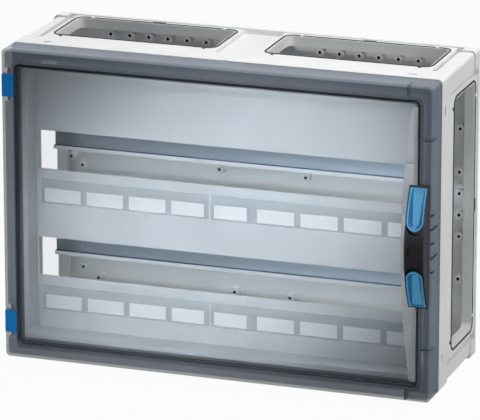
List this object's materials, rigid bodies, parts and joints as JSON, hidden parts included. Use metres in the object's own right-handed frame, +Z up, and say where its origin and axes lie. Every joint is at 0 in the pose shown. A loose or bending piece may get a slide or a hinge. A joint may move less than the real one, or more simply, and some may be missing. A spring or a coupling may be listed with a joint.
{
  "type": "electrical distribution enclosure",
  "caption": "Wall-mounted distribution enclosure with a light grey open-sided base, smoke-clear lid and hinged door with bow handle and sliding blue latches, over device rows on rails.",
  "frame": {"origin": "centre of the rectangle of wall fixing holes, on the back plane", "axes": "+X to the right seen from the front, +Y into the wall behind, +Z up"},
  "size_m": [0.6, 0.243, 0.43],
  "materials": {
    "body_grey": "satin light grey moulding",
    "smoke_clear": "smoke-clear gloss",
    "blue_plastic": "satin blue moulding",
    "dark_plastic": "satin dark grey moulding",
    "black_rubber": "matt black",
    "steel": "zinc-plated",
    "rail_steel": "zinc-plated",
    "panel_grey": "satin light grey moulding",
    "clear_plastic": "clear gloss",
    "label_card": "white card"
  },
  "bodies": {
    "enclosure": {"base": "body_grey", "lid_frame": "smoke_clear", "corner_cap_top": "smoke_clear", "corner_cap_bottom": "smoke_clear", "gasket_top_left": "black_rubber", "gasket_top_right": "black_rubber", "gasket_bottom_left": "black_rubber", "gasket_bottom_right": "black_rubber", "gasket_left": "black_rubber", "gasket_right": "black_rubber", "lid_seal": "black_rubber", "door_seal": "black_rubber", "lid_screws": "steel", "hinge_pin_upper": "steel", "hinge_pin_lower": "steel", "cover_screws": "steel", "support_screws": "steel", "rail_screws": "steel", "rail_upper": "rail_steel", "rail_lower": "rail_steel", "cover": "panel_grey", "rail_support_upper_left": "panel_grey", "rail_support_upper_right": "panel_grey", "rail_support_lower_left": "panel_grey", "rail_support_lower_right": "panel_grey", "label_holder_upper_left": "clear_plastic", "label_holder_upper_right": "clear_plastic", "label_holder_lower_left": "clear_plastic", "label_holder_lower_right": "clear_plastic", "labels_upper_left": "label_card", "labels_upper_right": "label_card", "labels_lower_left": "label_card", "labels_lower_right": "label_card"},
    "door": {"door": "smoke_clear", "hinge_cap_upper": "blue_plastic", "hinge_cap_lower": "blue_plastic", "handle": "dark_plastic", "handle_screws": "steel", "lock_plug": "dark_plastic"},
    "upper_latch": {"latch_upper": "blue_plastic"},
    "lower_latch": {"latch_lower": "blue_plastic"}
  },
  "joints": [
    {"name": "door_hinge", "type": "hinge", "parent": "enclosure", "child": "door", "pos_m": [-0.292, -0.206, 0], "axis": [0, 0, -1], "range_deg": [0, 115]},
    {"name": "upper_latch_slide", "type": "slide", "parent": "door", "child": "upper_latch", "axis": [0, -0.3535, -0.9354], "range_m": [0, 0.005]},
    {"name": "lower_latch_slide", "type": "slide", "parent": "door", "child": "lower_latch", "axis": [0, -0.3535, 0.9354], "range_m": [0, 0.005]}
  ]
}
